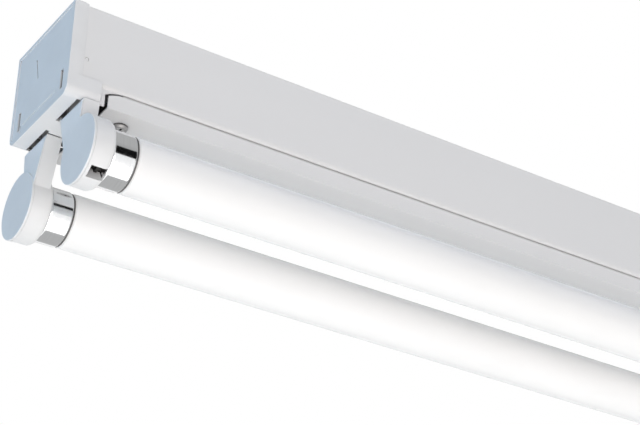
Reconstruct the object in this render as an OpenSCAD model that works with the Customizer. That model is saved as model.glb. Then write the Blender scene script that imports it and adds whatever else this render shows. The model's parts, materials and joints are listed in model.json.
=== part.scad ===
/* [Tubes] */
// Length of a tube between the outer faces of its two metal caps
tube_length = 1199.4; // [1100:0.1:1520]
// Outer diameter of the metal caps of a tube
tube_d = 26; // [25.4:0.1:26.4]
// Length of a metal cap
tube_cap_length = 11.3; // [9:0.1:14]
// Thickness of the glass
glass_wall = 0.8; // [0.6:0.1:1.1]
// Distance between the axes of the two tubes
tube_spacing = 60; // [58:0.5:66]
// Depth of the tube axes below the ceiling
tube_drop = 75.2; // [74:0.1:84]
// Distance between the two contact pins of a cap
pin_spacing = 12.7; // [12.3:0.1:13.1]
// Diameter of a contact pin
pin_d = 2.36; // [2.2:0.02:2.6]
// Length of the contact pins outside their cap
pin_length = 7.1; // [6.4:0.1:7.4]
// Number of light-emitting chips on the board of a tube
chip_count = 84; // [48:1:120]

/* [Spine] */
// Width of the folded steel spine
spine_width = 56; // [54:0.5:62]
// Height of the spine from the ceiling to its lower edges
spine_height = 39.4; // [38.5:0.1:42]
// Thickness of the steel sheet
sheet = 0.8; // [0.6:0.1:1]
// Height of the bend along the lower edges of the spine
hem_height = 2.5; // [1.6:0.1:4]

/* [Ceiling fixings] */
// Distance between the centres of the two fixing slots
fixing_spacing = 800; // [500:10:900]
// Width of a fixing slot
fixing_slot_width = 6.5; // [5:0.1:8]
// End-to-end length of a fixing slot
fixing_slot_length = 14; // [10:0.5:20]
// Distance between the two screw holes for a round conduit box
box_hole_spacing = 50.8; // [46:0.1:60]
// Diameter of the screw holes for a conduit box
box_hole_d = 4.5; // [3.5:0.1:6]
// Diameter of the cable entry hole in the spine
entry_d = 20; // [16:0.5:25]
// Diameter of the way through the rubber cable bush
bush_bore_d = 12; // [8:0.5:13]

/* [Cover] */
// Height of the outer side walls of the cover
cover_height = 8.2; // [8:0.1:12]
// Width of the seam between the spine and the cover
seam = 1.4; // [0.8:0.1:1.8]
// Gap between the cover and the end face of the fixture
cover_setback = 20.4; // [19.6:0.1:24]

/* [End caps] */
// Height of an end cap
cap_height = 48.3; // [47.6:0.1:48.9]
// Thickness of the side walls of an end cap
cap_wall = 1.1; // [0.9:0.1:1.6]
// Thickness of the end face
cap_face = 1.6; // [1.3:0.1:2]
// Length of the skirt that laps over the spine
cap_skirt = 7; // [6:0.1:7.6]
// Length of the floor of an end cap and of its lower wings
cap_floor = 16.3; // [16.1:0.1:17]
// Radius of the lower corners of the end face
cap_corner_r = 4.5; // [3:0.1:6]

/* [Lampholders] */
// Diameter of the round head of a lampholder
holder_d = 31.8; // [30.6:0.1:33]
// Thickness of the head
holder_depth = 10.5; // [10.2:0.1:11.2]
// Distance from the end face of the fixture to the back of the lampholders
holder_setback = 7.3; // [7:0.1:7.6]
// Lean of the lampholders away from each other, in degrees
holder_tilt = 30; // [24:1:34]
// Width of the entry notch for the tube's pins
notch_width = 6; // [4.6:0.1:7]
// Diameter of the front of the turning rotor
rotor_d = 17.4; // [17:0.1:19]

/* [Hidden] */
$fn = 64;

LEFT = -1;
RIGHT = 1;
FRONT = -1;
REAR = 1;
END_NAMES = [[LEFT, "left"], [RIGHT, "right"]];
SIDE_NAMES = [[FRONT, "front"], [REAR, "rear"]];

// Clearances and the overrun of cuts
overrun = 1;
cap_clearance = 0.1;
cover_clearance = 0.3;
running_clearance = 0.08;
tube_play = 0.4;

// Places along the length, measured inward from the end face of the fixture
holder_back_wall = 1.2;
holder_front_wall = 1.6;
holder_inside_x = holder_setback + holder_back_wall;
holder_front_x = holder_setback + holder_depth;
holder_web_x = holder_front_x - holder_front_wall;
tube_x = holder_front_x + tube_play;
length = tube_length + 2 * tube_x;

// Places across and down
spine_half = spine_width / 2;
cover_top = spine_height + seam;
cover_bottom = cover_top + cover_height;
cap_half = spine_half + cap_clearance + cap_wall;
cap_floor_wall = 1.5;
tube_y = tube_spacing / 2;
cap_r = tube_d / 2;
pin_r = pin_d / 2;

// Lampholder: head, neck and foot
holder_r = holder_d / 2;
holder_wall = 1.4;
head_cavity_r = holder_r - holder_wall;
head_bevel = 0.9;
head_bevel_length = 1.8;
neck_gap = 0.3;
neck_top = tube_drop - cap_height - neck_gap;
neck_depth = 8.7;
neck_inner = 6.9;
neck_outer = 29.3;
neck_lean = 8;
neck_recess = 0.6;
neck_crease_angle = 163;
foot_inner = 8;
foot_outer = 19.3;
foot_setback = 2.6;
foot_depth = 3.9;
foot_wall = 0.8;
plate_drop = 1;
foot_height = 11.3;
cavity_inner_angle = 150;
cavity_outer_angle = 112;
notch_floor = 1.4;
guide_wall = 1.3;
guide_gap = 0.3;

// Rotor and its post
rotor_r = rotor_d / 2;
rotor_hub_gap = 0.23;
rotor_hub_r = pin_spacing / 2 + pin_r - rotor_hub_gap;
rotor_flange_lip = 1.1;
rotor_flange_thick = 1.2;
rotor_face_recess = 0.2;
rotor_side_gap = 0.1;
rotor_back_gap = 0.4;
rotor_slot_clearance = 0.27;
rotor_slot_floor = 0.3;
post_r = 2.9;
post_length = 1.2;
post_hole_spare = 0.2;

// Spring contacts
contact_thick = 0.5;
contact_width = 3.4;
contact_gap = 0.07;
contact_front = 0.4;
contact_low = 5;
contact_bend = 9.5;
contact_outer_leg = [1, 13.4];
contact_inner_leg = [4.5, 14];
contact_top = 22;

// End cap details
cap_step_z = 38;
cap_rim = 1.6;
cap_rim_depth = 0.45;
skirt_taper_start = 4.4;
skirt_taper = cap_wall * 3 / 5;
slit_margin = 0.5;
neck_window_inner = 6.5;
window_inner = 4.8;
window_outer = 25.7;
pocket_wall = 1.2;
pocket_top = 38;
pocket_deck = 3;
tongue_slot_width = 2.4;
tongue_slot_height = 10;
tongue_slot_top = 33;
band_inner = 17;
band_outer = 20;
band_top = 41;
band_height = 4;
band_depth = 0.4;
pry_slot = [0.9, 12.4];
pry_slot_place = [7, 17.3];
pry_slot_lean = 17;
snap_x = 8.6;
snap_z = 28.2;
snap_r = 0.8;
snap_hole_clearance = 0.15;
snap_arm_length = 12;
snap_arm_height = 10;
snap_arm_thick = 1.2;
snap_proud = 0.7;

// Steel bracket inside each end
bracket_start = 24;
bracket_length = 20;
bracket_inset = 6;
bracket_half = spine_half - bracket_inset;
bracket_foot = 10;
tongue_tip = 1.2;
tongue_play = 0.4;

// Screws that hold the cover
screw_x = 32;
screw_inset = 5;
screw_y = bracket_half - screw_inset;
screw_r = 1.75;
screw_hole_r = 2.1;
screw_length = 8;
screw_head_r = 3.7;
screw_head_height = 1.9;
screw_recess_width = 1;
screw_recess_length = 4;
screw_recess_depth = 1.2;

// Spine details
spine_start = cap_face;
hem_inset = 0.9;
hem_steps = 4;
hem_r = (hem_height * hem_height + hem_inset * hem_inset) / (2 * hem_inset);
hem_angle = asin(hem_height / hem_r);
ear_gap = 0.3;
end_gap = 1.3;
corner_r = sheet * 5 / 4;
corner_steps = 4;
entry_x = 60;
cover_corner_r = 16.2;
cover_corner_length = 7.6;
flange_rise = 5.3;
flange_setback = 8;

// Cable bush
bush_flange_r = entry_d / 2 + 2.5 * sheet;
bush_flange_height = 2;
bush_recess = 0.05;

// Terminal block
block_x = -60;
block_length = 28;
block_pitch = 10;
block_margin = 5;
block_height = 17;
block_poles = 3;
block_entry_r = 2.6;
block_peg_r = 2.5;
block_peg_reach = 8;
block_peg_recess = 0.1;
sleeve_depth = 9;
sleeve_length = 22;
sleeve_r = 3.2;
sleeve_bore_r = 2.4;
clamp_screw_r = 1.5;
clamp_head_r = 2.2;
clamp_head_height = 2;
clamp_slot = [0.6, 0.8];
clamp_x = 6;
well_clearance = 0.4;

// Earth terminal
earth_x = -98;
stud_r = 2;
stud_length = 13;
stud_base_r = 3;
stud_base_height = 0.8;
ring_r = 4;
ring_thick = 0.8;
ring_tail = 12;
nut_r = 4;
nut_height = 3.2;

// Wires
wire_r = 1;
wire_sides = 8;
wire_lane = [18, 4.6];
wire_lane_step = 3.4;
wire_pair_gap = 0.3;
wire_depth_in_block = 7;
wire_foot_y = 13.6;
wire_foot_x = holder_inside_x + foot_setback + foot_depth / 2;
wire_end_rise = 8;
wire_drop_x = 62;
lead_r = 0.5;

// Glass tube and what is sealed in it
cap_wall_t = 0.4;
cap_edge_r = 1.3;
cap_edge_steps = 5;
cap_rim_r = 0.6;
cement_width = 0.8;
cement_inset = 0.4;
glass_inset = 0.1;
glass_neck_gap = 0.2;
glass_neck_start = 2;
glass_r = cap_r - glass_inset;
glass_inner_r = glass_r - glass_wall;
neck_r = cap_r - cap_wall_t - glass_neck_gap;
insulator_r = 8.6;
insulator_proud = 0.15;
insulator_thick = 1.6;
pin_inside = 5;
pin_tip = 0.6;
board_width = 10;
board_thick = 1;
board_height = 9.2;
board_setback = 3;
adhesive_width = 7;
chip_size = [3.5, 2.8, 0.7];
driver_zone = 52;

// Small helpers for outlines, bends and swept wires
function unit(v) = v / norm(v);
function left_of(v) = [-v[1], v[0]];
function mitre(a, b) = (left_of(a) + left_of(b)) / (1 + left_of(a) * left_of(b));
function heading(p, i) = unit(p[min(i + 1, len(p) - 1)] - p[min(i, len(p) - 2)]);
function arriving(p, i) = i == 0 ? heading(p, 0) : unit(p[i] - p[i - 1]);
function shifted(p, d) = [for (i = [0 : len(p) - 1]) p[i] + d * mitre(arriving(p, i), heading(p, i))];
function reversed(p) = [for (i = [len(p) - 1 : -1 : 0]) p[i]];
function band(p, d) = concat(p, reversed(shifted(p, d)));
function arc(centre, r, from, to, steps) =
    [for (i = [0 : steps])
        let (angle = from + (to - from) * i / steps)
            centre + r * [cos(angle), sin(angle)]];
function softened(p) = concat(
    [p[0]],
    [for (i = [0 : len(p) - 2]) each [p[i] * 3 / 4 + p[i + 1] / 4, p[i] / 4 + p[i + 1] * 3 / 4]],
    [p[len(p) - 1]]
);
function ring(p, i, r) =
    let (
        t = unit(arriving(p, i) + heading(p, i)),
        n = unit(cross(t, [0, 1, 0])),
        b = cross(t, n)
    )
    [for (k = [0 : wire_sides - 1])
        let (angle = 360 * k / wire_sides)
            p[i] + r * (cos(angle) * n + sin(angle) * b)];

// Places children, drawn in (across, up), as a bar between two stations along the length
module prism(from, to) {
    translate([from, 0, 0])
        rotate([90, 0, 90])
            linear_extrude(height = to - from)
                children();
}

// A round rod along the length
module rod(from, to, r, r_end = undef) {
    translate([from, 0, 0])
        rotate([0, 90, 0])
            cylinder(h = to - from, r1 = r, r2 = is_undef(r_end) ? r : r_end);
}

// A box between two opposite corners
module block(low, high) {
    translate(low) cube(high - low);
}

// One end of the fixture: x runs inward from the end face
module at_end(end) {
    rotate([0, 0, end == LEFT ? 0 : 180])
        translate([-length / 2, 0, 0])
            children();
}

// One lampholder: the tube's axis lies on x, and +y points away from the other tube
module at_holder(end, side) {
    at_end(end)
        mirror([0, end * side > 0 ? 1 : 0, 0])
            translate([0, tube_y, -tube_drop])
                children();
}

// Both sides of one end
module both_sides() {
    children();
    mirror([0, 1, 0]) children();
}

module wire(route, r) {
    p = softened(softened(route));
    n = len(p);
    s = wire_sides;
    polyhedron(
        points = [for (i = [0 : n - 1]) each ring(p, i, r)],
        faces = concat(
            [[for (k = [0 : s - 1]) k]],
            [for (i = [0 : n - 2], k = [0 : s - 1])
                each [
                    [i * s + k, (i + 1) * s + k, i * s + (k + 1) % s],
                    [i * s + (k + 1) % s, (i + 1) * s + k, (i + 1) * s + (k + 1) % s]
                ]],
            [[for (k = [s - 1 : -1 : 0]) (n - 1) * s + k]]
        )
    );
}

// Steel spine: a folded channel whose lower edges bend inward
module spine() {
    half = concat(
        arc([hem_r - spine_half, hem_height - spine_height], hem_r, 180 + hem_angle, 180, hem_steps),
        arc([corner_r - spine_half, -corner_r], corner_r, 180, 90, corner_steps)
    );
    outer = concat(half, reversed([for (q = half) [-q[0], q[1]]]));
    color("white")
    difference() {
        union() {
            prism(spine_start - length / 2, length / 2 - spine_start) polygon(band(outer, -sheet));
            for (end = [LEFT, RIGHT])
                at_end(end) both_sides() spine_ear();
        }
        for (end = [LEFT, RIGHT])
            translate([end * fixing_spacing / 2, 0, 0]) fixing_slot();
        translate([entry_x, 0, 0]) down_hole(entry_d / 2);
        for (end = [LEFT, RIGHT])
            translate([entry_x + end * box_hole_spacing / 2, 0, 0]) down_hole(box_hole_d / 2);
        for (end = [LEFT, RIGHT])
            translate([block_x + end * block_peg_reach, 0, 0]) down_hole(block_peg_r);
        for (end = [LEFT, RIGHT])
            at_end(end) both_sides() snap_hole();
    }
}

// Ear at the end of each lower edge, in the gap between end cap and cover
module spine_ear() {
    start = cap_floor + ear_gap;
    stop = cover_setback - end_gap;
    bottom = -cap_height + ear_gap;
    top = -spine_height + sheet / 2;
    low = cover_corner_z() + sqrt(pow(cover_corner_r, 2) - pow(cover_corner_length, 2)) - sheet;
    translate([0, spine_half - hem_inset, 0])
        rotate([90, 0, 0])
            linear_extrude(height = sheet) {
                translate([start, bottom]) square([stop - start, top - bottom]);
                difference() {
                    translate([start, low]) square([cover_corner_x() - start, top - low]);
                    translate([cover_corner_x(), cover_corner_z()])
                        circle(cover_corner_r + seam, $fn = 4 * $fn);
                }
            }
}

// Centre of the long curve that rounds the cover's corners
function cover_corner_x() = cover_setback + cover_corner_length;
function cover_corner_z() = -cover_top - cover_corner_r;

module down_hole(r) {
    translate([0, 0, -sheet - overrun]) cylinder(h = sheet + 2 * overrun, r = r);
}

module fixing_slot() {
    reach = (fixing_slot_length - fixing_slot_width) / 2;
    for (end = [LEFT, RIGHT])
        translate([end * reach, 0, 0]) down_hole(fixing_slot_width / 2);
    block([-reach, -fixing_slot_width / 2, -sheet - overrun], [reach, fixing_slot_width / 2, overrun]);
}

module snap_hole() {
    translate([snap_x, spine_half + overrun, -snap_z])
        rotate([90, 0, 0])
            cylinder(h = sheet + 2 * overrun, r = snap_r + snap_hole_clearance);
}

// Cover: a shallow tray whose stepped edges slip inside the spine
module cover() {
    flange_y = spine_half - hem_inset - sheet - cover_clearance;
    side = [
        [-flange_y, -cover_top + flange_rise],
        [-flange_y, -cover_top],
        [-spine_half, -cover_top],
        [-spine_half, -cover_bottom]
    ];
    outer = concat(side, reversed([for (q = side) [-q[0], q[1]]]));
    color("white")
    difference() {
        prism(cover_setback - length / 2, length / 2 - cover_setback) polygon(band(outer, sheet));
        for (end = [LEFT, RIGHT])
            at_end(end) cover_end_cuts();
    }
}

module cover_end_cuts() {
    reach = spine_half + overrun;
    block(
        [cover_setback - overrun, -reach, -cover_top],
        [cover_setback + flange_setback, reach, -cover_top + flange_rise + overrun]
    );
    translate([0, reach, 0])
        rotate([90, 0, 0])
            linear_extrude(height = 2 * reach)
                difference() {
                    translate([cover_setback - overrun, -cover_top - cover_corner_length / 2])
                        square([cover_corner_length + overrun, cover_corner_length]);
                    translate([cover_corner_x(), cover_corner_z()]) circle(cover_corner_r, $fn = 4 * $fn);
                }
    both_sides()
        translate([screw_x, screw_y, -cover_bottom - overrun])
            cylinder(h = sheet + 2 * overrun, r = screw_hole_r);
}

// Cross-recessed screws that hold the cover to the brackets
module cover_screws() {
    color("gainsboro")
    for (end = [LEFT, RIGHT])
        at_end(end)
            both_sides()
                translate([screw_x, screw_y, -cover_bottom]) pan_screw();
}

module pan_screw() {
    dome_r = screw_head_r - screw_recess_width / 2;
    difference() {
        union() {
            cylinder(h = screw_length, r = screw_r);
            translate([0, 0, -screw_head_height / 2]) cylinder(h = screw_head_height / 2, r = screw_head_r);
            translate([0, 0, -screw_head_height])
                cylinder(h = screw_head_height / 2, r1 = dome_r, r2 = screw_head_r);
        }
        for (turn = [0, 90])
            rotate([0, 0, turn])
                translate([0, 0, -screw_head_height])
                    cube([screw_recess_length, screw_recess_width, 2 * screw_recess_depth], center = true);
    }
}

// Outline of the end face, with rounded lower corners, drawn inset by a given wall
module cap_outline(inset_side, inset_floor) {
    half = cap_half - inset_side;
    low = -cap_height + inset_floor;
    r = cap_corner_r - inset_side;
    translate([-half, low + r]) square([2 * half, -low - r]);
    translate([-half + r, low]) square([2 * (half - r), r]);
    for (side = [FRONT, REAR])
        translate([side * (half - r), low + r]) circle(r);
}

// Moulded end cap: face, lapping skirt, lower wings, floor and the pockets for the lampholders
module end_cap() {
    color("lightsteelblue")
    difference() {
        union() {
            prism(0, cap_face) cap_outline(0, 0);
            difference() {
                prism(0, cap_floor) cap_outline(0, 0);
                prism(0, cap_floor + overrun) cap_hollow();
                cap_upper_cut();
            }
            both_sides() {
                holder_pocket();
                snap_arm();
            }
        }
        cap_face_details();
        both_sides() {
            lamp_window();
            skirt_slope();
        }
    }
}

module cap_hollow() {
    cap_outline(cap_wall, cap_floor_wall);
    translate([-cap_half + cap_wall, -cap_corner_r])
        square([2 * (cap_half - cap_wall), cap_corner_r + overrun]);
}

module cap_upper_cut() {
    reach = cap_half + overrun;
    block([cap_skirt, -reach, -cap_step_z], [cap_floor + overrun, reach, overrun]);
}

module cap_face_details() {
    // Shallow field inside the rim of the face
    prism(-overrun, cap_rim_depth) field_outline();
    // Slots for the tongues of the bracket
    tongue_y = bracket_half - sheet / 2;
    slot_low = -tongue_slot_top - tongue_slot_height;
    both_sides()
        block(
            [-overrun, tongue_y - tongue_slot_width / 2, slot_low],
            [cap_face + overrun, tongue_y + tongue_slot_width / 2, -tongue_slot_top]
        );
    // Shallow band near the lower edge
    block(
        [-overrun, -band_inner, -band_top - band_height],
        [cap_rim_depth + band_depth, band_outer, -band_top]
    );
    // Short slit used to lever the cap off
    prism(-overrun, cap_rim_depth + band_depth)
        translate([pry_slot_place[0], -pry_slot_place[1]])
            rotate(-pry_slot_lean)
                square(pry_slot, center = true);
}

module field_outline() {
    half = cap_half - cap_rim;
    r = cap_corner_r - cap_rim;
    low = -cap_height + cap_rim;
    translate([-half, low + r]) square([2 * half, -low - r - cap_rim]);
    translate([-half + r, low]) square([2 * (half - r), r]);
    for (side = [FRONT, REAR])
        translate([side * (half - r), low + r]) circle(r);
}

// The skirt thins out towards its edge, so that it blends into the side of the spine
module skirt_slope() {
    translate([0, 0, -cap_step_z])
        linear_extrude(height = cap_step_z + overrun)
            polygon([
                [skirt_taper_start, cap_half],
                [cap_skirt, cap_half - skirt_taper],
                [cap_skirt + overrun, cap_half - skirt_taper],
                [cap_skirt + overrun, cap_half + overrun],
                [skirt_taper_start, cap_half + overrun]
            ]);
}

// Opening for a lampholder's neck, with the slit behind it through which the holder is unclipped
module lamp_window() {
    start = holder_setback - slit_margin;
    low = -cap_height - overrun;
    floor_top = -cap_height + cap_floor_wall;
    block([start, window_inner, low], [holder_inside_x + cap_clearance, window_outer, floor_top]);
    block([start, neck_window_inner, low], [cap_floor + overrun, window_outer, floor_top]);
}

// Pocket round a lampholder's foot, joined to the end face by a deck
module holder_pocket() {
    start = holder_inside_x + foot_setback - cap_clearance;
    stop = holder_inside_x + foot_setback + foot_depth + cap_clearance;
    inner = foot_inner - cap_clearance;
    outer = foot_outer + cap_clearance;
    floor_top = -cap_height + cap_floor_wall;
    difference() {
        union() {
            block(
                [start, inner - pocket_wall, floor_top],
                [stop + pocket_wall, outer + pocket_wall, -pocket_top]
            );
            block(
                [0, inner - pocket_wall, -pocket_top - pocket_deck],
                [start + overrun, outer + pocket_wall, -pocket_top]
            );
        }
        block([start, inner, floor_top - overrun], [stop, outer, -pocket_top + overrun]);
    }
}

module snap_arm() {
    outer_y = spine_half - sheet - cap_clearance;
    block(
        [0, outer_y - snap_arm_thick, -snap_z - snap_arm_height / 2],
        [snap_arm_length, outer_y, -snap_z + snap_arm_height / 2]
    );
    translate([snap_x, outer_y + snap_proud, -snap_z])
        rotate([90, 0, 0])
            cylinder(h = snap_proud + snap_arm_thick / 2, r = snap_r);
}

// Folded steel bracket inside each end: it holds the end cap and the cover
module end_bracket() {
    inner = bracket_half - sheet;
    low = -cover_bottom + sheet;
    tongue_top = -tongue_slot_top - tongue_play;
    tongue_low = -tongue_slot_top - tongue_slot_height + tongue_play;
    stop = bracket_start + bracket_length;
    color("silver")
    difference() {
        union() {
            block([bracket_start, -bracket_half, -2 * sheet], [stop, bracket_half, -sheet]);
            both_sides() {
                block([bracket_start, inner, low], [stop, bracket_half, -sheet]);
                block([tongue_tip, inner, tongue_low], [bracket_start + sheet, bracket_half, tongue_top]);
                block([bracket_start, bracket_half - bracket_foot, low], [stop, bracket_half, low + sheet]);
            }
        }
        both_sides()
            translate([screw_x, screw_y, low - overrun])
                cylinder(h = sheet + 2 * overrun, r = screw_r);
    }
}

// Outline of a lampholder's head and neck around the tube's axis
module neck_outline() {
    outer_y = neck_outer - tube_y;
    polygon([
        [neck_inner - tube_y, neck_top],
        holder_r * [cos(neck_crease_angle), sin(neck_crease_angle)],
        [outer_y - neck_top * tan(neck_lean), 0],
        [outer_y, neck_top]
    ]);
}

module neck_cavity() {
    polygon([
        [foot_inner + holder_wall - tube_y, neck_top - holder_wall],
        head_cavity_r * [cos(cavity_inner_angle), sin(cavity_inner_angle)],
        head_cavity_r * [cos(cavity_outer_angle), sin(cavity_outer_angle)],
        [foot_outer - holder_wall - tube_y, neck_top - holder_wall]
    ]);
}

// Moulded housing of a lampholder
module lampholder() {
    bevel_x = holder_front_x - head_bevel_length;
    foot_x = holder_inside_x + foot_setback;
    foot_top = neck_top + foot_height;
    color("white")
    difference() {
        union() {
            rod(holder_inside_x, bevel_x, holder_r);
            rod(bevel_x, holder_front_x, holder_r, holder_r - head_bevel);
            prism(holder_inside_x, holder_setback + neck_depth) neck_outline();
            block(
                [foot_x, foot_inner - tube_y, neck_top - overrun],
                [foot_x + foot_depth, foot_outer - tube_y, foot_top]
            );
        }
        difference() {
            rod(holder_inside_x - overrun, holder_web_x, head_cavity_r);
            notch_guides();
        }
        prism(holder_inside_x - overrun, holder_setback + neck_depth - holder_wall) neck_cavity();
        rod(holder_web_x - overrun, holder_front_x + overrun, rotor_r + running_clearance);
        block(
            [foot_x + foot_wall, foot_inner + holder_wall - tube_y, neck_top - 2 * overrun],
            [foot_x + foot_depth - foot_wall, foot_outer - holder_wall - tube_y, foot_top + overrun]
        );
        rotate([holder_tilt, 0, 0])
            block(
                [holder_inside_x + notch_floor, -notch_width / 2, -holder_r - overrun],
                [holder_front_x + overrun, notch_width / 2, 0]
            );
    }
}

// Walls inside the head that lead the pins from the notch to the rotor
module notch_guides() {
    half = notch_width / 2 + guide_wall;
    flange_x = holder_web_x - rotor_side_gap - rotor_flange_thick - guide_gap;
    difference() {
        rotate([holder_tilt, 0, 0])
            block([holder_inside_x + notch_floor, -half, -holder_r], [holder_web_x + overrun, half, 0]);
        rod(holder_inside_x - overrun, holder_web_x + 2 * overrun, rotor_hub_r + guide_gap);
        rod(flange_x, holder_web_x + 2 * overrun, rotor_r + rotor_flange_lip + guide_gap);
    }
}

// Back plate of a lampholder, with the post on which the rotor turns
module lampholder_back() {
    color("lightsteelblue")
    union() {
        rod(holder_setback, holder_inside_x, holder_r);
        difference() {
            prism(holder_setback + neck_recess, holder_inside_x) neck_outline();
            block(
                [holder_setback, -tube_y, neck_top - plate_drop],
                [holder_inside_x + overrun, tube_y, neck_top + overrun]
            );
        }
        rod(holder_inside_x, holder_inside_x + post_length, post_r);
    }
}

// Rotor that takes the two pins and turns with the tube
module rotor() {
    back = holder_inside_x + rotor_back_gap;
    face = holder_front_x - rotor_face_recess;
    lip = holder_web_x - rotor_side_gap;
    slot_half = pin_r + rotor_slot_clearance;
    reach = rotor_r + rotor_flange_lip + overrun;
    slot_x = tube_x - pin_length - rotor_slot_floor;
    color("dimgray")
    difference() {
        union() {
            rod(back, lip, rotor_hub_r);
            rod(lip - rotor_flange_thick, lip, rotor_r + rotor_flange_lip);
            rod(lip - rotor_flange_thick, face, rotor_r);
        }
        rod(back - overrun, holder_inside_x + post_length + post_hole_spare, post_r + running_clearance);
        rotate([holder_tilt, 0, 0])
            block([slot_x, -reach, -slot_half], [face + overrun, reach, slot_half]);
    }
}

// Two spring contacts that press on the pins
module contacts() {
    near = pin_spacing / 2 + pin_r + contact_gap;
    front = holder_setback + neck_depth - holder_wall - contact_front;
    outer = [
        [near, -contact_low],
        [near, contact_bend],
        contact_outer_leg,
        [contact_outer_leg[0], contact_top]
    ];
    inner = [
        [-near, -contact_low],
        [-near, contact_bend],
        [-contact_inner_leg[0], contact_inner_leg[1]],
        [-contact_inner_leg[0], contact_top]
    ];
    color("gold")
    rotate([holder_tilt, 0, 0])
        prism(front - contact_width, front) {
            polygon(band(outer, -contact_thick));
            polygon(band(inner, contact_thick));
        }
}

// Opal glass, drawn in at both ends where the metal caps are cemented on
module tube_glass() {
    body_x = tube_x + tube_cap_length + cement_width;
    color("ghostwhite")
    difference() {
        union() {
            rod(body_x - length / 2, length / 2 - body_x, glass_r);
            rod(tube_x + glass_neck_start - length / 2, length / 2 - tube_x - glass_neck_start, neck_r);
        }
        rod(body_x + glass_wall - length / 2, length / 2 - body_x - glass_wall, glass_inner_r);
        rod(tube_x - length / 2, length / 2 - tube_x, neck_r - glass_wall);
    }
}

// Metal cap of a tube
module tube_cap() {
    stop = tube_x + tube_cap_length;
    inner_r = cap_r - cap_wall_t;
    edge = arc([cap_r - cap_edge_r, cap_edge_r], cap_edge_r, -90, 0, cap_edge_steps);
    color("silver")
    translate([tube_x, 0, 0])
        rotate([0, 90, 0])
            rotate_extrude()
                polygon(concat(
                    [[insulator_r, 0]],
                    edge,
                    [
                        [cap_r, tube_cap_length - cap_rim_r],
                        [cap_r - cap_rim_r / 4, tube_cap_length - cap_rim_r / 4],
                        [inner_r, tube_cap_length],
                        [inner_r, cap_edge_r],
                        [inner_r - cap_edge_r / 2, cap_wall_t],
                        [insulator_r, cap_wall_t]
                    ]
                ));
}

// Rings of cement between the metal caps and the glass
module cap_cement(side) {
    start = tube_x + tube_cap_length;
    color("dimgray")
    for (end = [LEFT, RIGHT])
        at_holder(end, side)
            difference() {
                rod(start, start + cement_width - glass_inset, cap_r - cement_inset);
                rod(start - overrun, start + cement_width + overrun, neck_r + glass_neck_gap / 2);
            }
}

module pin_places() {
    rotate([holder_tilt, 0, 0])
        for (side = [FRONT, REAR])
            translate([0, side * pin_spacing / 2, 0])
                children();
}

// Insulating disc that carries the pins
module pin_insulator() {
    color("dimgray")
    difference() {
        rod(tube_x - insulator_proud, tube_x - insulator_proud + insulator_thick, insulator_r);
        pin_places() rod(tube_x - overrun, tube_x + insulator_thick + overrun, pin_r);
    }
}

module pins() {
    color("goldenrod")
    pin_places() {
        rod(tube_x - pin_length, tube_x - pin_length + pin_tip, pin_r - pin_tip / 2, pin_r);
        rod(tube_x - pin_length + pin_tip, tube_x + pin_inside, pin_r);
    }
}

// Long board inside the glass that carries the chips and the driver
module led_board() {
    start = tube_x + tube_cap_length + board_setback;
    color("ivory")
    block(
        [start - length / 2, -board_width / 2, board_height],
        [length / 2 - start, board_width / 2, board_height + board_thick]
    );
}

module led_adhesive() {
    start = tube_x + tube_cap_length + board_setback;
    color("gainsboro")
    intersection() {
        rod(start - length / 2, length / 2 - start, glass_inner_r);
        block(
            [start - length / 2, -adhesive_width / 2, board_height + board_thick],
            [length / 2 - start, adhesive_width / 2, glass_r]
        );
    }
}

module led_chips() {
    first = tube_x + tube_cap_length + board_setback + driver_zone - length / 2;
    last = length / 2 - tube_x - tube_cap_length - 2 * board_setback;
    pitch = (last - first) / (chip_count - 1);
    color("khaki")
    for (i = [0 : chip_count - 1])
        translate([first + i * pitch - chip_size[0] / 2, -chip_size[1] / 2, board_height - chip_size[2]])
            cube(chip_size);
}

// Driver parts soldered under the first stretch of the board: share of the zone, length, width and height
driver_boxes_shares = [
    [0.04, 0.10, 0.55, 0.45],
    [0.42, 0.16, 0.80, 0.75],
    [0.84, 0.08, 0.60, 0.25]
];
driver_rounds_shares = [[0.18, 0.20, 0.34], [0.64, 0.17, 0.30]];

module driver_parts() {
    start = tube_x + tube_cap_length + board_setback - length / 2;
    color("darkslategray") {
        for (q = driver_boxes_shares)
            block(
                [start + q[0] * driver_zone, -q[2] * board_width / 2, board_height - q[3] * board_width],
                [start + (q[0] + q[1]) * driver_zone, q[2] * board_width / 2, board_height]
            );
        for (q = driver_rounds_shares)
            translate([0, 0, board_height - q[2] * board_width])
                rod(start + q[0] * driver_zone, start + (q[0] + q[1]) * driver_zone, q[2] * board_width);
    }
}

// Insulated leads from the pins to the ends of the board
module lead_pair() {
    pin_end = tube_x + pin_inside;
    board_end = tube_x + tube_cap_length + board_setback;
    low = board_height + board_thick / 2;
    for (side = [FRONT, REAR]) {
        pin = [side * pin_spacing / 2 * cos(holder_tilt), side * pin_spacing / 2 * sin(holder_tilt)];
        wire([
            [pin_end, pin[0], pin[1]],
            [pin_end + lead_r * 4, pin[0], pin[1]],
            [(pin_end + board_end) / 2, (pin[0] + side * board_width / 4) / 2, (pin[1] + low) / 2],
            [board_end - lead_r * 3, side * board_width / 4, low],
            [board_end, side * board_width / 4, low]
        ], lead_r);
    }
}

module tube_leads(side) {
    color("white")
    for (end = [LEFT, RIGHT])
        at_holder(end, side) lead_pair();
}

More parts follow.
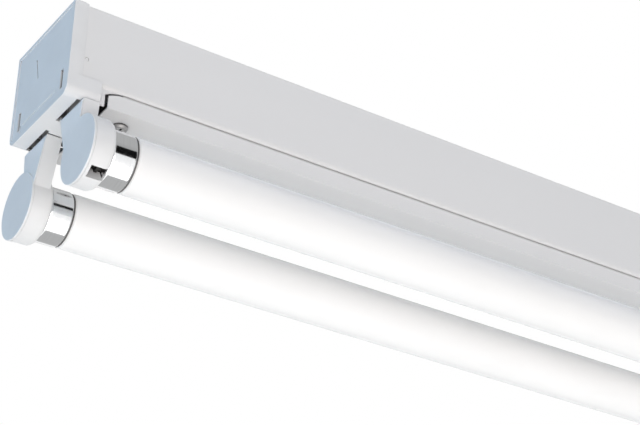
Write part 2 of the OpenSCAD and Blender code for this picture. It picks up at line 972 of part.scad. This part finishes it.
// Mains terminal block, pegged into the spine, with its screws facing down
module terminal_block() {
    half = (block_poles - 1) / 2 * block_pitch + block_margin;
    color("white")
    translate([block_x, 0, -sheet])
    difference() {
        union() {
            block([-block_length / 2, -half, -block_height], [block_length / 2, half, 0]);
            for (end = [LEFT, RIGHT])
                translate([end * block_peg_reach, 0, -overrun])
                    cylinder(h = overrun + sheet - block_peg_recess, r = block_peg_r);
        }
        for (pole = block_places()) translate([0, pole, 0]) {
            translate([0, 0, -sleeve_depth]) {
                rod(-block_length / 2 - overrun, block_length / 2 + overrun, block_entry_r);
                rod(-sleeve_length / 2, sleeve_length / 2, sleeve_r);
            }
            for (end = [LEFT, RIGHT])
                translate([end * clamp_x, 0, -block_height - overrun])
                    cylinder(h = block_height + overrun - sleeve_depth, r = clamp_head_r + well_clearance);
        }
    }
}

function block_places() = [for (i = [0 : block_poles - 1]) (i - (block_poles - 1) / 2) * block_pitch];

module terminal_sleeves() {
    color("gold")
    translate([block_x, 0, -sheet - sleeve_depth])
        for (pole = block_places())
            translate([0, pole, 0])
                difference() {
                    rod(-sleeve_length / 2, sleeve_length / 2, sleeve_r);
                    rod(-sleeve_length / 2 - overrun, sleeve_length / 2 + overrun, sleeve_bore_r);
                    for (end = [LEFT, RIGHT])
                        translate([end * clamp_x, 0, -sleeve_r - overrun])
                            cylinder(h = sleeve_r + overrun, r = clamp_screw_r);
                }
}

module terminal_screws() {
    head_z = sleeve_r + clamp_screw_r / 2;
    color("silver")
    translate([block_x, 0, -sheet - sleeve_depth])
        for (pole = block_places(), end = [LEFT, RIGHT])
            translate([end * clamp_x, pole, -head_z])
                difference() {
                    union() {
                        translate([0, 0, -clamp_head_height])
                            cylinder(h = clamp_head_height, r = clamp_head_r);
                        cylinder(h = head_z - wire_r * 2 - wire_pair_gap, r = clamp_screw_r);
                    }
                    translate([0, 0, -clamp_head_height])
                        cube([2 * clamp_head_r + overrun, clamp_slot[0], 2 * clamp_slot[1]], center = true);
                }
}

// Earth terminal welded under the top of the spine
module earth_stud() {
    color("silver")
    translate([earth_x, 0, -sheet]) {
        translate([0, 0, -stud_base_height]) cylinder(h = stud_base_height, r = stud_base_r);
        translate([0, 0, -stud_length]) cylinder(h = stud_length - stud_base_height, r = stud_r);
    }
}

module earth_ring() {
    color("gainsboro")
    translate([earth_x, 0, -sheet - stud_base_height - ring_thick])
        difference() {
            union() {
                cylinder(h = ring_thick, r = ring_r);
                block([0, -wire_r, 0], [ring_tail, wire_r, ring_thick]);
            }
            translate([0, 0, -overrun]) cylinder(h = ring_thick + 2 * overrun, r = stud_r);
        }
}

module earth_nut() {
    color("silver")
    translate([earth_x, 0, -sheet - stud_base_height - ring_thick - nut_height])
        difference() {
            cylinder(h = nut_height, r = nut_r, $fn = 6);
            translate([0, 0, -overrun]) cylinder(h = nut_height + 2 * overrun, r = stud_r);
        }
}

// Rubber bush in the cable entry
module cable_bush() {
    low = -sheet - bush_flange_height;
    color("dimgray")
    translate([entry_x, 0, 0])
        difference() {
            union() {
                translate([0, 0, low]) cylinder(h = bush_flange_height, r = bush_flange_r);
                translate([0, 0, low]) cylinder(h = -low - bush_recess, r = entry_d / 2);
            }
            translate([0, 0, low - overrun]) cylinder(h = overrun - low + overrun, r = bush_bore_d / 2);
        }
}

// Mains cores from the terminal block to the two lampholders of one end
module end_wires(end) {
    lane_side = end == LEFT ? FRONT : REAR;
    pole = lane_side * block_pitch;
    lane_z = -wire_lane[1];
    start = block_x + end * (block_length / 2 - wire_depth_in_block);
    out = block_x + end * (block_length / 2 + block_pitch);
    drop = end * (length / 2 - wire_drop_x);
    foot = end * (length / 2 - wire_foot_x);
    foot_z = -tube_drop + neck_top;
    for (side = [FRONT, REAR]) {
        own = side == lane_side;
        lane_y = lane_side * (own ? wire_lane[0] : wire_lane[0] - wire_lane_step);
        foot_y = side * wire_foot_y;
        z = -sheet - sleeve_depth + (own ? 1 : -1) * (wire_r + wire_pair_gap);
        wire([
            [start, pole, z],
            [out, pole, z],
            [out + end * block_length, lane_y, lane_z],
            [out + end * 2 * block_length, lane_y, lane_z],
            [drop, lane_y, lane_z],
            [foot - end * 3 * wire_end_rise, foot_y, lane_z],
            [foot, foot_y, lane_z],
            [foot, foot_y, foot_z + 2 * wire_end_rise],
            [foot, foot_y, foot_z - wire_r]
        ], wire_r);
    }
}

module earth_wire() {
    tail = earth_x + ring_tail;
    start = block_x - block_length / 2 + wire_depth_in_block;
    color("yellowgreen")
    wire([
        [tail, 0, -sheet - stud_base_height - ring_thick - wire_r],
        [tail + 2 * wire_r, 0, -sheet - stud_base_height - ring_thick - wire_r],
        [start - wire_depth_in_block - 2 * wire_r, 0, -sheet - sleeve_depth],
        [start, 0, -sheet - sleeve_depth]
    ], wire_r);
}

spine();
cover();
cover_screws();
terminal_block();
terminal_sleeves();
terminal_screws();
earth_stud();
earth_nut();
earth_ring();
cable_bush();
color("saddlebrown") end_wires(LEFT);  // live_wires
color("royalblue") end_wires(RIGHT);  // neutral_wires
earth_wire();

// Pieces that both ends have
for (e = END_NAMES) {
    at_end(e[0]) end_cap();
    at_end(e[0]) end_bracket();
}

// Pieces that both tubes have
for (s = SIDE_NAMES) {
    at_tube(s[0]) tube_glass();
    at_tube(s[0]) led_board();
    at_tube(s[0]) led_chips();
    at_tube(s[0]) led_adhesive();
    at_tube(s[0]) driver_parts();
    tube_leads(s[0]);
    cap_cement(s[0]);
}

module at_tube(side) {
    translate([0, side * tube_y, -tube_drop]) children();
}

// Pieces that each end of each tube has
for (e = END_NAMES, s = SIDE_NAMES) {
    place = str(e[1], "_", s[1]);
    at_holder(e[0], s[0]) lampholder();
    at_holder(e[0], s[0]) lampholder_back();
    at_holder(e[0], s[0]) contacts();
    at_holder(e[0], s[0]) rotor();
    at_holder(e[0], s[0]) tube_cap();
    at_holder(e[0], s[0]) pin_insulator();
    at_holder(e[0], s[0]) pins();
}
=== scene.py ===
import json
import math

import bmesh
import bpy
from mathutils import Matrix, Vector


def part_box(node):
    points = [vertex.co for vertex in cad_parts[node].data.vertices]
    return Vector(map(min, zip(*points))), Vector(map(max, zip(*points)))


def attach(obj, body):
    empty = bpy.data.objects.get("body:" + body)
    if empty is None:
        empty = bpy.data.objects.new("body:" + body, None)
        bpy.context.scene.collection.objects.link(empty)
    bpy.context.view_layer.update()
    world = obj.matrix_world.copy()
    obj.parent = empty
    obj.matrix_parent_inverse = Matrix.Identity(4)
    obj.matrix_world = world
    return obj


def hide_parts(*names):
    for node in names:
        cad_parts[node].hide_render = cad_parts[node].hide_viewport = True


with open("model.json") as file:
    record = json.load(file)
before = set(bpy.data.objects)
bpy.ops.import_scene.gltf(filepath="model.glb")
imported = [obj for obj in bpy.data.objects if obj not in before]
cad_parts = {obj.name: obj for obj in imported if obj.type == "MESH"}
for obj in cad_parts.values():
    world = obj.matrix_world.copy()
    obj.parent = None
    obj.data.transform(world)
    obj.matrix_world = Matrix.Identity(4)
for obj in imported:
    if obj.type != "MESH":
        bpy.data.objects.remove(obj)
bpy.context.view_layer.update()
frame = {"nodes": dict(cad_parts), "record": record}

MM = 0.001
ENDS = {"left": -1, "right": 1}
SIDES = {"front": -1, "rear": 1}

# Places read from the frame
glass_low, glass_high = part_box("tube_glass_front")
END_X = -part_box("end_cap_left")[0].x
TUBE_Y = -(glass_low.y + glass_high.y) / 2
TUBE_Z = (glass_low.z + glass_high.z) / 2

# Camera at the photograph's viewing angle; turn in degrees, sensor and lens in millimetres
CAMERA_PLACE = (-244.6 * MM - END_X, -606.0 * MM, -450.1 * MM)
CAMERA_TURN = (119.195, -0.966, -33.540)
SENSOR = 36
LENS = 97.03
NEAREST = 0.05
FARTHEST = 50


def put_in(obj):
    bpy.context.scene.collection.objects.link(obj)
    return obj


def add_camera():
    data = bpy.data.cameras.new("camera")
    data.sensor_width = SENSOR
    data.lens = LENS
    data.clip_start = NEAREST
    data.clip_end = FARTHEST
    camera = put_in(bpy.data.objects.new("camera", data))
    camera.location = CAMERA_PLACE
    camera.rotation_euler = [math.radians(a) for a in CAMERA_TURN]
    bpy.context.scene.camera = camera


# Materials
class Look:
    """A Principled material with short calls for the nodes that the looks below need."""

    def __init__(self, name, roughness=0.5, metallic=0.0, **sockets):
        self.material = bpy.data.materials.new(name)
        self.material.use_nodes = True
        self.nodes = self.material.node_tree.nodes
        self.links = self.material.node_tree.links
        self.shader = self.nodes["Principled BSDF"]
        self.set("Roughness", roughness)
        self.set("Metallic", metallic)
        self.set("Subsurface Radius", (1, 1, 1))
        for socket, value in sockets.items():
            self.set(socket.replace("_", " "), value)
        self.place = self.add("ShaderNodeTexCoord").outputs["Object"]
        self.normal = None

    def add(self, kind, **values):
        node = self.nodes.new(kind)
        for key, value in values.items():
            setattr(node, key, value)
        return node

    def set(self, socket, value):
        self.shader.inputs[socket].default_value = value

    def join(self, out, to):
        self.links.new(out, to)

    def scaled(self, scale):
        node = self.add("ShaderNodeMapping")
        node.inputs["Scale"].default_value = scale
        self.join(self.place, node.inputs["Vector"])
        return node.outputs["Vector"]

    def noise(self, scale, detail=3.0, stretch=(1, 1, 1)):
        """Noise with this many features to the metre, closer together where stretch is over 1."""
        node = self.add("ShaderNodeTexNoise")
        node.inputs["Scale"].default_value = scale
        node.inputs["Detail"].default_value = detail
        self.join(self.scaled(stretch), node.inputs["Vector"])
        return node.outputs["Fac"]

    def ramp(self, value, *stops):
        node = self.add("ShaderNodeValToRGB")
        for point, (at, colour) in zip(node.color_ramp.elements, stops):
            point.position = at
            point.color = (*colour, 1)
        self.join(value, node.inputs["Fac"])
        return node.outputs["Color"]

    def span(self, value, low, high, start=0.0, stop=1.0):
        """Maps start to low and stop to high."""
        node = self.add("ShaderNodeMapRange")
        numbers = {"From Min": start, "From Max": stop, "To Min": low, "To Max": high}
        for socket, number in numbers.items():
            node.inputs[socket].default_value = number
        self.join(value, node.inputs["Value"])
        return node.outputs["Result"]

    def mix(self, value, first, second):
        node = self.add("ShaderNodeMix", data_type="RGBA")
        self.join(value, node.inputs["Factor"])
        for socket, colour in ((6, first), (7, second)):
            if isinstance(colour, tuple):
                node.inputs[socket].default_value = (*colour, 1)
            else:
                self.join(colour, node.inputs[socket])
        return node.outputs[2]

    def paint_crevice_shade(self, colour, dark, distance, start, stop):
        """Paints shade into a colour where the surface lies in a slit or a corner.

        It is fully dark where less than the share start is open within the distance, and
        keeps its colour where more than the share stop is.
        """
        corner = self.add("ShaderNodeAmbientOcclusion")
        corner.inputs["Distance"].default_value = distance
        return self.mix(self.span(corner.outputs["AO"], 0, 1, start, stop), dark, colour)

    def colour(self, out):
        self.join(out, self.shader.inputs["Base Color"])

    def rough(self, out):
        self.join(out, self.shader.inputs["Roughness"])

    def bump(self, height, strength, distance):
        """Adds a bump on top of those that the look has already."""
        node = self.add("ShaderNodeBump")
        node.inputs["Strength"].default_value = strength
        node.inputs["Distance"].default_value = distance
        self.join(height, node.inputs["Height"])
        if self.normal:
            self.join(self.normal, node.inputs["Normal"])
        self.normal = node.outputs["Normal"]
        self.join(self.normal, self.shader.inputs["Normal"])

    def part(self, axis):
        node = self.add("ShaderNodeSeparateXYZ")
        self.join(self.place, node.inputs["Vector"])
        return node.outputs[axis]


def grey(level, warm=0.0):
    """A near-white or grey colour, a little warmer or cooler than neutral."""
    return (level * (1 + warm), level, level * (1 - warm))


def powder_coat():
    look = Look("powder_coat", roughness=0.42, Coat_Weight=0.12, Coat_Roughness=0.25)
    tone = look.noise(9, detail=2, stretch=(0.25, 1, 1))
    look.colour(look.ramp(tone, (0.3, grey(0.715, -0.006)), (0.7, grey(0.755, -0.004))))
    look.rough(look.span(look.noise(140), 0.36, 0.48))
    waves = look.noise(6, detail=1, stretch=(0.3, 1, 1))
    orange_peel = look.noise(1400, detail=2)
    look.bump(waves, 0.12, 0.6 * MM)
    look.bump(orange_peel, 0.22, 0.05 * MM)
    return look.material


def moulded(name, low, high, roughness, grain, depth, subsurface=0.0, crevice_shade=None):
    """Moulded plastic or rubber: tone from low to high, fine grain of that scale and depth.

    Crevice shade gives the distance, start and stop of the shade painted into narrow gaps and
    corners.
    """
    look = Look(name, roughness=roughness, Subsurface_Weight=subsurface,
                Subsurface_Scale=1.5 * MM)
    tone = look.ramp(look.noise(55, detail=3), (0.3, low), (0.7, high))
    # Painted shade: the colour darkens in narrow gaps and corners.
    look.colour(look.paint_crevice_shade(tone, grey(0.03), *crevice_shade) if crevice_shade else tone)
    look.rough(look.span(look.noise(320), roughness - 0.05, roughness + 0.06))
    look.bump(look.noise(90, detail=1), 0.08, 0.2 * MM)
    look.bump(look.noise(grain, detail=2), depth, 0.04 * MM)
    return look.material


def opal_glass():
    look = Look("opal_glass", roughness=0.24, Coat_Weight=0.06, Coat_Roughness=0.08,
                Specular_IOR_Level=0.22, Subsurface_Weight=0.25, Subsurface_Scale=4 * MM)
    coat = look.noise(30, detail=4, stretch=(0.4, 1, 1))
    look.colour(look.ramp(coat, (0.35, grey(0.905)), (0.65, grey(0.93))))
    look.bump(look.noise(5, detail=1, stretch=(0.5, 1, 1)), 0.05, 0.4 * MM)
    return look.material


def polished_cap():
    look = Look("polished_cap", roughness=0.1, metallic=1.0)
    turning_marks = look.noise(260, detail=4, stretch=(14, 0.25, 0.25))
    look.colour(look.ramp(turning_marks, (0.3, grey(0.83, -0.01)), (0.7, grey(0.91, -0.01))))
    look.rough(look.span(look.noise(400, detail=3, stretch=(6, 0.4, 0.4)), 0.07, 0.16))
    look.bump(turning_marks, 0.03, 0.02 * MM)
    return look.material


def worn_metal(name, low, high, roughness, grain=300):
    look = Look(name, roughness=roughness, metallic=1.0)
    tone = look.noise(grain, detail=4)
    look.colour(look.ramp(tone, (0.3, low), (0.7, high)))
    look.rough(look.span(look.noise(2 * grain), roughness - 0.08, roughness + 0.1))
    look.bump(tone, 0.12, 0.03 * MM)
    return look.material


def screw_steel():
    """Dull plated steel with shade painted into the recess."""
    look = Look("screw_steel", roughness=0.5, metallic=0.7)
    tone = look.noise(500, detail=3)
    metal = look.ramp(tone, (0.3, grey(0.40)), (0.7, grey(0.52)))
    # Painted shade in the screw's cross recess.
    look.colour(look.paint_crevice_shade(metal, grey(0.02), distance=2 * MM, start=0.5, stop=0.9))
    look.rough(look.span(tone, 0.45, 0.6))
    look.bump(tone, 0.12, 0.03 * MM)
    return look.material


def striped_insulation():
    """Earth insulation: green on one side of the wire and yellow on the other."""
    green, yellow = (0.05, 0.28, 0.04), (0.72, 0.55, 0.03)
    edge = 0.2 * MM
    look = Look("striped_insulation", roughness=0.38)
    look.colour(look.mix(look.span(look.part("Y"), 0, 1, -edge, edge), green, yellow))
    look.bump(look.noise(500), 0.1, 0.03 * MM)
    return look.material


def led_packages():
    look = Look("led_packages", roughness=0.35)
    grain = look.noise(2500, detail=2)
    look.colour(look.ramp(grain, (0.35, (0.78, 0.60, 0.16)), (0.65, (0.90, 0.74, 0.28))))
    look.bump(grain, 0.1, 0.02 * MM)
    return look.material


def circuit_board():
    look = Look("circuit_board", roughness=0.4)
    tracks = look.add("ShaderNodeTexBrick")
    tracks.inputs["Scale"].default_value = 60
    tones = {"Color1": grey(0.78), "Color2": grey(0.74), "Mortar": grey(0.62, 0.02)}
    for socket, tone in tones.items():
        tracks.inputs[socket].default_value = (*tone, 1)
    look.join(look.place, tracks.inputs["Vector"])
    look.colour(tracks.outputs["Color"])
    look.bump(tracks.outputs["Fac"], 0.1, 0.02 * MM)
    return look.material


# Name, tone low and high, roughness, scale and depth of the grain
MOULDED = (
    # The rotor's near-black tone is painted shade, for the hub seen deep in the lampholder's
    # notch.
    ("rotor_plastic", grey(0.012, 0.02), grey(0.03, 0.02), 0.42, 1500, 0.2),
    ("terminal_plastic", grey(0.66, 0.01), grey(0.72, 0.01), 0.4, 1500, 0.15),
    ("insulator_plastic", grey(0.012, 0.1), grey(0.03, 0.1), 0.5, 1400, 0.3),
    ("cement", grey(0.07), grey(0.11), 0.55, 1400, 0.3),
    ("driver_parts", grey(0.015), grey(0.035), 0.35, 1200, 0.2),
    ("bush_rubber", grey(0.018), grey(0.03), 0.6, 1200, 0.3),
    ("adhesive", grey(0.55), grey(0.65), 0.3, 600, 0.2),
    ("brown_pvc", (0.055, 0.022, 0.008), (0.09, 0.035, 0.014), 0.36, 900, 0.15),
    ("blue_pvc", (0.012, 0.05, 0.28), (0.02, 0.08, 0.38), 0.36, 900, 0.15),
    ("lead_wire", grey(0.62), grey(0.72), 0.4, 900, 0.15),
)
# Name, tone low and high, roughness
WORN = (
    ("brass", (0.62, 0.44, 0.16), (0.78, 0.58, 0.26), 0.25),
    ("spring_bronze", (0.55, 0.30, 0.14), (0.70, 0.42, 0.22), 0.3),
    ("tinned_copper", grey(0.55), grey(0.68), 0.3),
)
MATERIALS = {
    "painted_steel": powder_coat(),
    # The end cap's slit and the lampholder's notch get painted shade.
    "end_cap_plastic": moulded(
        "end_cap_plastic", grey(0.70, -0.012), grey(0.74, -0.012), 0.45, 1900, 0.25,
        crevice_shade=(9 * MM, 0.22, 0.42)),
    "holder_plastic": moulded(
        "holder_plastic", grey(0.72, -0.008), grey(0.76, -0.008), 0.34, 1500, 0.12,
        subsurface=0.05, crevice_shade=(2 * MM, 0.0, 0.25)),
    "earth_pvc": striped_insulation(),
    "opal_glass": opal_glass(),
    "cap_metal": polished_cap(),
    "screw_steel": screw_steel(),
    "zinc_steel": worn_metal("zinc_steel", grey(0.45, -0.02), grey(0.62, -0.02), 0.4, grain=60),
    "led_phosphor": led_packages(),
    "led_board": circuit_board(),
}
MATERIALS.update({row[0]: moulded(*row) for row in MOULDED})
MATERIALS.update({row[0]: worn_metal(*row) for row in WORN})

SLOT_OF = {row["node"]: row["material_slot"] for row in frame["record"]["subparts"]}
BODIES = frame["record"]["behaviour"]["bodies"]
BODY_OF = {node: body for body, nodes in BODIES.items() for node in nodes}


# Pieces
def paint(obj, slot):
    obj.data.materials.clear()
    obj.data.materials.append(MATERIALS[slot])


def settle(obj, node):
    """A finished piece stands for its CAD node, rides on its body and takes its finish."""
    slot = SLOT_OF[node]
    paint(obj, slot)
    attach(obj, BODY_OF[node])
    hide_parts(node)


def shade(mesh, crease):
    """Smooth shading, with edges sharp from the crease angle in degrees."""
    for face in mesh.polygons:
        face.use_smooth = True
    mesh.set_sharp_from_angle(angle=math.radians(crease))


# Pressed and moulded pieces get small round edges, which their solids leave sharp.
# Widths in millimetres.
EASED = {
    "spine": 0.35, "cover": 0.3, "cover_screws": 0.12,
    "end_cap": 0.35, "end_bracket": 0.12,
    "lampholder": 0.3, "lampholder_back": 0.22, "rotor": 0.15,
    "terminal_block": 0.3, "earth_nut": 0.15,
}
EASED_CREASE = 38
EASED_SEGMENTS = 2
WELD_DISTANCE = 0.002 * MM
FLAT_ANGLE = 0.4


def eased(node, width):
    mesh = frame["nodes"][node].data.copy()
    work = bmesh.new()
    work.from_mesh(mesh)
    bmesh.ops.remove_doubles(work, verts=work.verts, dist=WELD_DISTANCE)
    bmesh.ops.dissolve_limit(work, angle_limit=math.radians(FLAT_ANGLE),
                             verts=work.verts, edges=work.edges)
    work.to_mesh(mesh)
    work.free()
    obj = put_in(bpy.data.objects.new(node + "_finish", mesh))
    bevel = obj.modifiers.new("edges", "BEVEL")
    bevel.width = width
    bevel.segments = EASED_SEGMENTS
    bevel.limit_method = "ANGLE"
    bevel.angle_limit = math.radians(EASED_CREASE)
    bevel.use_clamp_overlap = True
    bevel.miter_outer = "MITER_ARC"
    shade(mesh, EASED_CREASE)
    even = obj.modifiers.new("normals", "WEIGHTED_NORMAL")
    even.keep_sharp = True
    even.weight = 100
    settle(obj, node)


# Turned pieces: a closed profile of (along, radius) points swept round a tube's axis
TURNED_CREASE = 40


def turned(node, profile, side, segments):
    work = bmesh.new()
    rings = []
    for along, radius in profile:
        ring = []
        for i in range(segments):
            a = 2 * math.pi * i / segments
            point = (along, radius * math.cos(a), radius * math.sin(a))
            ring.append(work.verts.new(point))
        rings.append(ring)
    for one, two in zip(rings, rings[1:] + rings[:1]):
        for i in range(segments):
            j = (i + 1) % segments
            work.faces.new((one[i], two[i], two[j], one[j]))
    bmesh.ops.recalc_face_normals(work, faces=work.faces)
    mesh = bpy.data.meshes.new(node + "_finish")
    work.to_mesh(mesh)
    work.free()
    mesh.transform(Matrix.Translation((0, side * TUBE_Y, TUBE_Z)))
    shade(mesh, TURNED_CREASE)
    settle(put_in(bpy.data.objects.new(node + "_finish", mesh)), node)


def bend(centre, radius, start, stop, steps):
    """Points (along, radius) on a round corner, angles in degrees from the length direction."""
    points = []
    for i in range(steps + 1):
        a = math.radians(start + (stop - start) * i / steps)
        points.append((centre[0] + radius * math.cos(a), centre[1] + radius * math.sin(a)))
    return points


# Glass tube. Its neck goes into the metal cap, and its shoulder starts beyond the cement.
# A loop is an extra ring beside a bend, which keeps the shading of the straight side even.
GLASS_WALL = 0.8 * MM
GLASS_SHOULDER = 1.2 * MM
GLASS_SHOULDER_START = 150
GLASS_NECK_STEP = 0.7 * MM
GLASS_LOOP = 0.3 * MM
GLASS_SEGMENTS = 96
CEMENT_WIDTH = 0.7 * MM
CEMENT_GAP = 0.1 * MM


def tube_glass(side_name):
    node = f"tube_glass_{side_name}"
    low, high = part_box(node)
    radius = (high.z - low.z) / 2
    neck = radius - GLASS_NECK_STEP
    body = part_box(f"tube_cap_left_{side_name}")[1].x + CEMENT_WIDTH + CEMENT_GAP
    centre = (body + GLASS_SHOULDER, radius - GLASS_SHOULDER)
    half = [(low.x, neck), (body - GLASS_LOOP, neck)]
    half += bend(centre, GLASS_SHOULDER, GLASS_SHOULDER_START, 90, 5)
    half.append((centre[0] + GLASS_LOOP, radius))
    outside = half + [(-x, r) for x, r in reversed(half)]
    inside = [(x, r - GLASS_WALL) for x, r in reversed(outside)]
    turned(node, outside + inside, SIDES[side_name], GLASS_SEGMENTS)


# Metal cap of a tube: a drawn cup with a hole for the pins' disc, a pressed groove round it,
# a round edge and a rolled lip against the cement
CAP_HOLE = 8.6 * MM
CAP_WALL = 0.4 * MM
CAP_EDGE = 1.3 * MM
CAP_LIP = 0.8 * MM
CAP_LIP_INSET = 0.2 * MM
CAP_LOOP = 0.1 * MM
CAP_GROOVE_DEPTH = 0.25 * MM
CAP_GROOVE_STEPS = ((2.6 * MM, 0), (2.3 * MM, CAP_GROOVE_DEPTH),
                    (1.9 * MM, CAP_GROOVE_DEPTH), (1.6 * MM, 0))
CAP_SEGMENTS = 128


def tube_cap(end_name, side_name):
    node = f"tube_cap_{end_name}_{side_name}"
    end = ENDS[end_name]
    low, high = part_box(node)
    radius = (high.z - low.z) / 2
    depth = high.x - low.x
    inner = radius - CAP_LIP - CAP_LIP_INSET
    profile = [(0, CAP_HOLE)]
    profile += [(sunk, radius - inwards) for inwards, sunk in CAP_GROOVE_STEPS]
    profile += bend((CAP_EDGE, radius - CAP_EDGE), CAP_EDGE, 180, 90, 7)
    profile += [(CAP_EDGE + CAP_LOOP, radius), (depth - CAP_LIP - CAP_LOOP, radius)]
    profile += bend((depth - CAP_LIP, radius - CAP_LIP), CAP_LIP, 90, 0, 6)
    profile += [(depth, inner), (CAP_EDGE, inner)]
    profile += [(CAP_WALL, radius - CAP_WALL - CAP_EDGE), (CAP_WALL, CAP_HOLE)]
    face = low.x if end < 0 else high.x
    turned(node, [(face - end * x, r) for x, r in profile], SIDES[side_name], CAP_SEGMENTS)


def kind_of(node):
    """A node's name without its end and side."""
    return "_".join(w for w in node.split("_") if w not in ENDS and w not in SIDES)


def dress_nodes():
    for node, obj in frame["nodes"].items():
        kind = kind_of(node)
        if kind in EASED:
            eased(node, EASED[kind] * MM)
        elif kind not in ("tube_glass", "tube_cap"):
            paint(obj, SLOT_OF[node])
    for side_name in SIDES:
        tube_glass(side_name)
        for end_name in ENDS:
            tube_cap(end_name, side_name)


# Stage: pale floor, white surroundings, cards that shape the reflections, soft lamps
FLOOR_Z = -3.2
FLOOR_REACH = 25
FLOOR_GLOW = 0.6
CARD_DISTANCE = 3.0
WORLD_LIGHT = (0.93, 0.99, 1.0)
WORLD_STRENGTH = 0.43


def level_corners(height, low, high):
    """Corners of a level sheet between two (x, y) corners."""
    corners = ((low[0], low[1]), (high[0], low[1]), (high[0], high[1]), (low[0], high[1]))
    return [(x, y, height) for x, y in corners]


def upright_corners(bearing, low, high, width):
    """Corners of an upright card seen from the near end of the front tube.

    Bearing in degrees from -Y towards +X, low and high as elevations in degrees.
    """
    turn = math.radians(bearing)
    out = Vector((math.sin(turn), -math.cos(turn), 0))
    across = Vector((math.cos(turn), math.sin(turn), 0)) * (width / 2)
    foot = Vector((-END_X, -TUBE_Y, TUBE_Z)) + out * CARD_DISTANCE
    bottom, top = (Vector((0, 0, CARD_DISTANCE * math.tan(math.radians(a))))
                   for a in (low, high))
    return [foot - across + bottom, foot + across + bottom,
            foot + across + top, foot - across + top]


def sheet(name, corners, look):
    mesh = bpy.data.meshes.new(name)
    mesh.from_pydata(corners, [], [(0, 1, 2, 3)])
    mesh.materials.append(look.material)
    return put_in(bpy.data.objects.new(name, mesh))


def add_floor():
    look = Look("floor", roughness=0.7)
    look.colour(look.ramp(look.noise(3), (0.3, grey(0.80)), (0.7, grey(0.83))))
    # Pale to the camera, white in reflections, and from below the floor lets the view through
    path = look.add("ShaderNodeLightPath")
    glow = look.add("ShaderNodeMath", operation="MULTIPLY")
    glow.inputs[1].default_value = FLOOR_GLOW
    look.join(path.outputs["Is Camera Ray"], glow.inputs[0])
    white = look.add("ShaderNodeEmission").outputs["Emission"]
    behind = look.add("ShaderNodeNewGeometry").outputs["Backfacing"]
    clear = look.add("ShaderNodeBsdfTransparent").outputs["BSDF"]
    shown = look.shader.outputs["BSDF"]
    switches = ((glow.outputs[0], white), (path.outputs["Is Glossy Ray"], white), (behind, clear))
    for switch, other in switches:
        pick = look.add("ShaderNodeMixShader")
        look.join(switch, pick.inputs["Fac"])
        look.join(shown, pick.inputs[1])
        look.join(other, pick.inputs[2])
        shown = pick.outputs["Shader"]
    look.join(shown, look.nodes["Material Output"].inputs["Surface"])
    reach = (FLOOR_REACH, FLOOR_REACH)
    floor = sheet("floor", level_corners(FLOOR_Z, (-FLOOR_REACH, -FLOOR_REACH), reach), look)


def add_card(name, corners, brightness):
    """A card that only reflections see."""
    look = Look(name)
    look.set("Base Color", (0, 0, 0, 1))
    look.set("Specular IOR Level", 0)
    look.set("Emission Color", (brightness, brightness, brightness, 1))
    look.set("Emission Strength", 1)
    card = sheet(name, corners, look)
    card.visible_camera = card.visible_diffuse = False
    card.visible_shadow = card.visible_transmission = False


def add_lamp(name, place, size, watts, colour, mirrored):
    """An area lamp aimed at the middle of the object, which reflections see if mirrored."""
    data = bpy.data.lights.new(name, "AREA")
    data.shape = "RECTANGLE"
    data.size, data.size_y = size
    data.energy = watts
    data.color = colour
    lamp = put_in(bpy.data.objects.new(name, data))
    lamp.location = place
    lamp.rotation_euler = (-Vector(place)).to_track_quat("-Z", "Y").to_euler()
    lamp.visible_camera = False
    lamp.visible_glossy = mirrored


def add_world():
    """White to the camera, in reflections and through glass; soft cool light otherwise."""
    world = bpy.data.worlds.new("studio")
    bpy.context.scene.world = world
    world.use_nodes = True
    nodes, links = world.node_tree.nodes, world.node_tree.links
    soft = nodes["Background"]
    soft.inputs["Color"].default_value = (*WORLD_LIGHT, 1)
    soft.inputs["Strength"].default_value = WORLD_STRENGTH
    white = nodes.new("ShaderNodeBackground")
    white.inputs["Color"].default_value = (1, 1, 1, 1)
    white.inputs["Strength"].default_value = 1
    path = nodes.new("ShaderNodeLightPath")
    shown = path.outputs["Is Camera Ray"]
    for ray in ("Is Glossy Ray", "Is Transmission Ray"):
        either = nodes.new("ShaderNodeMath")
        either.operation = "MAXIMUM"
        links.new(shown, either.inputs[0])
        links.new(path.outputs[ray], either.inputs[1])
        shown = either.outputs[0]
    pick = nodes.new("ShaderNodeMixShader")
    links.new(shown, pick.inputs["Fac"])
    links.new(soft.outputs[0], pick.inputs[1])
    links.new(white.outputs[0], pick.inputs[2])
    links.new(pick.outputs[0], nodes["World Output"].inputs["Surface"])


# Name, corners, brightness
CARDS = (
    ("dark_card", upright_corners(bearing=28, low=-1, high=27, width=5.0), 0.005),
    ("grey_card", upright_corners(bearing=28, low=27, high=65, width=9.0), 0.42),
    ("grey_ceiling", level_corners(2.4, (-9, -9), (9, 9)), 0.45),
    ("grey_floor", level_corners(-1.58, (-4, 0), (9, 9)), 0.48),
)
# Name, place, size, watts, colour, mirrored
LAMPS = (
    ("below", (-0.5, -0.3, -1.45), (2.8, 2.2), 15.2, (1.0, 1.0, 0.98), True),
    ("front", (-0.9, -1.9, -1.3), (2.6, 1.4), 30.5, (1.0, 0.905, 0.865), True),
    ("left", (-2.8, 0.2, -0.1), (1.6, 1.6), 14, (0.0, 0.46, 1.0), True),
    ("above", (0.4, 0.8, 2.2), (2.4, 1.6), 38, (1.0, 1.0, 1.0), False),
    ("upper_front", (-0.2, -1.3, 2.0), (2.6, 1.6), 14, (0.76, 0.80, 1.0), False),
    ("rear", (0.3, 1.9, -1.3), (2.6, 1.4), 9, (1.0, 0.93, 0.90), False),
    ("right", (2.8, -0.3, -0.1), (1.6, 1.6), 9, (1.0, 0.96, 0.94), False),
)

add_camera()
dress_nodes()
add_floor()
add_world()
for card_row in CARDS:
    add_card(*card_row)
for lamp_row in LAMPS:
    add_lamp(*lamp_row)

bpy.context.scene.view_settings.view_transform = "Standard"
